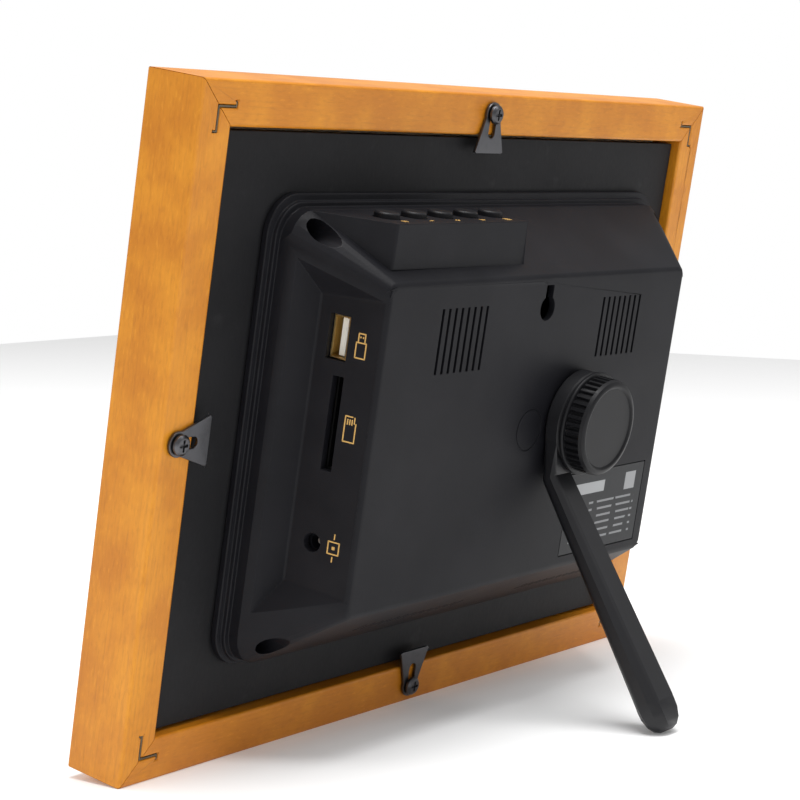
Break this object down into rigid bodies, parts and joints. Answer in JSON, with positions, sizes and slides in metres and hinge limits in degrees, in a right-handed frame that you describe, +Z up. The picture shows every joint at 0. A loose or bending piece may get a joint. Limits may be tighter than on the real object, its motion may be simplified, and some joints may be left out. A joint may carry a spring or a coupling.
{
  "type": "digital photo frame",
  "caption": "Leaning digital photo frame: mitred wooden surround, black rear case with side sockets and top buttons, ribbed clamp knob and a swivelling stand leg.",
  "frame": {"origin": "centre of the bounding box's bottom face, on the surface that the frame and its leg stand on", "axes": "+Z up; +Y out of the back, so the picture faces -Y; +X to the left as seen from behind, the side with the sockets"},
  "size_m": [0.253, 0.1074, 0.1903],
  "materials": {
    "wood": "satin honey varnish",
    "steel": "plain zinc-plated steel",
    "black_steel": "black-coated steel",
    "glass": "clear flat glass",
    "mat": "uncoated cream card",
    "screen": "dark glossy display, switched off",
    "board": "black paper-faced fibreboard",
    "case_plastic": "fine-textured black moulded plastic",
    "button_plastic": "smooth black moulded plastic",
    "knob_plastic": "satin black moulded plastic",
    "circuit": "green solder resist",
    "brass": "brass and gold-plated sheet",
    "white_plastic": "plain white insert",
    "switch": "dark switch body",
    "speaker": "paper cone in a dark basket",
    "label": "dark printed film",
    "ribbon": "amber flexible circuit film"
  },
  "bodies": {
    "frame": {"frame_rail_top": "wood", "frame_rail_left": "wood", "frame_rail_bottom": "wood", "frame_rail_right": "wood", "corner_nail_top_left": "steel", "corner_nail_top_right": "steel", "corner_nail_bottom_right": "steel", "corner_nail_bottom_left": "steel", "glass": "glass", "mat_board": "mat", "display_tray": "steel", "display_panel": "screen", "backing_board": "board", "rear_case": "case_plastic", "case_screw_1": "black_steel", "case_screw_2": "black_steel", "case_screw_3": "black_steel", "case_screw_4": "black_steel", "main_board": "circuit", "button_board": "circuit", "usb_shell": "brass", "stand_insert": "brass", "usb_tongue": "white_plastic", "card_socket": "steel", "power_jack_pin": "steel", "power_jack": "case_plastic", "board_screw_1": "steel", "board_screw_2": "steel", "board_screw_3": "steel", "board_screw_4": "steel", "speaker_left": "speaker", "speaker_right": "speaker", "display_ribbon": "ribbon", "rating_label": "label", "switch_1": "switch", "switch_2": "switch", "switch_3": "switch", "switch_4": "switch", "switch_5": "switch"},
    "leg": {"stand_leg": "knob_plastic"},
    "knob": {"stand_knob": "knob_plastic", "stand_bolt": "steel"},
    "button_1": {"button_1": "button_plastic"},
    "button_2": {"button_2": "button_plastic"},
    "button_3": {"button_3": "button_plastic"},
    "button_4": {"button_4": "button_plastic"},
    "button_5": {"button_5": "button_plastic"},
    "clip_screw_top": {"clip_screw_top": "black_steel"},
    "clip_top": {"clip_top": "black_steel"},
    "clip_screw_left": {"clip_screw_left": "black_steel"},
    "clip_left": {"clip_left": "black_steel"},
    "clip_screw_bottom": {"clip_screw_bottom": "black_steel"},
    "clip_bottom": {"clip_bottom": "black_steel"},
    "clip_screw_right": {"clip_screw_right": "black_steel"},
    "clip_right": {"clip_right": "black_steel"}
  },
  "joints": [
    {"name": "leg_swivel", "type": "hinge", "parent": "frame", "child": "leg", "pos_m": [-0.023, 0.01494, 0.08927], "axis": [0, 0.9848, -0.1736], "continuous": true},
    {"name": "knob_turn", "type": "hinge", "parent": "frame", "child": "knob", "pos_m": [-0.023, 0.0179, 0.08875], "axis": [0, 0.9848, -0.1736], "range_deg": [0, 360]},
    {"name": "button_1_press", "type": "slide", "parent": "frame", "child": "button_1", "axis": [0, -0.1736, -0.9848], "range_m": [0, 0.0008], "stiffness_N_per_m": 800},
    {"name": "button_2_press", "type": "slide", "parent": "frame", "child": "button_2", "axis": [0, -0.1736, -0.9848], "range_m": [0, 0.0008], "stiffness_N_per_m": 800},
    {"name": "button_3_press", "type": "slide", "parent": "frame", "child": "button_3", "axis": [0, -0.1736, -0.9848], "range_m": [0, 0.0008], "stiffness_N_per_m": 800},
    {"name": "button_4_press", "type": "slide", "parent": "frame", "child": "button_4", "axis": [0, -0.1736, -0.9848], "range_m": [0, 0.0008], "stiffness_N_per_m": 800},
    {"name": "button_5_press", "type": "slide", "parent": "frame", "child": "button_5", "axis": [0, -0.1736, -0.9848], "range_m": [0, 0.0008], "stiffness_N_per_m": 800},
    {"name": "clip_top_turn", "type": "hinge", "parent": "frame", "child": "clip_screw_top", "pos_m": [0, -0.00136, 0.1811], "axis": [0, 0.9848, -0.1736], "range_deg": [-90, 90]},
    {"name": "clip_top_slide", "type": "slide", "parent": "clip_screw_top", "child": "clip_top", "axis": [0, 0.1736, 0.9848], "range_m": [0, 0.0055]},
    {"name": "clip_left_turn", "type": "hinge", "parent": "frame", "child": "clip_screw_left", "pos_m": [0.1207, -0.01685, 0.09326], "axis": [0, 0.9848, -0.1736], "range_deg": [-90, 90]},
    {"name": "clip_left_slide", "type": "slide", "parent": "clip_screw_left", "child": "clip_left", "axis": [1, 0, 0], "range_m": [0, 0.0055]},
    {"name": "clip_bottom_turn", "type": "hinge", "parent": "frame", "child": "clip_screw_bottom", "pos_m": [0, -0.03234, 0.00541], "axis": [0, 0.9848, -0.1736], "range_deg": [-90, 90]},
    {"name": "clip_bottom_slide", "type": "slide", "parent": "clip_screw_bottom", "child": "clip_bottom", "axis": [0, -0.1736, -0.9848], "range_m": [0, 0.0055]},
    {"name": "clip_right_turn", "type": "hinge", "parent": "frame", "child": "clip_screw_right", "pos_m": [-0.1207, -0.01685, 0.09326], "axis": [0, 0.9848, -0.1736], "range_deg": [-90, 90]},
    {"name": "clip_right_slide", "type": "slide", "parent": "clip_screw_right", "child": "clip_right", "axis": [-1, 0, 0], "range_m": [0, 0.0055]}
  ]
}
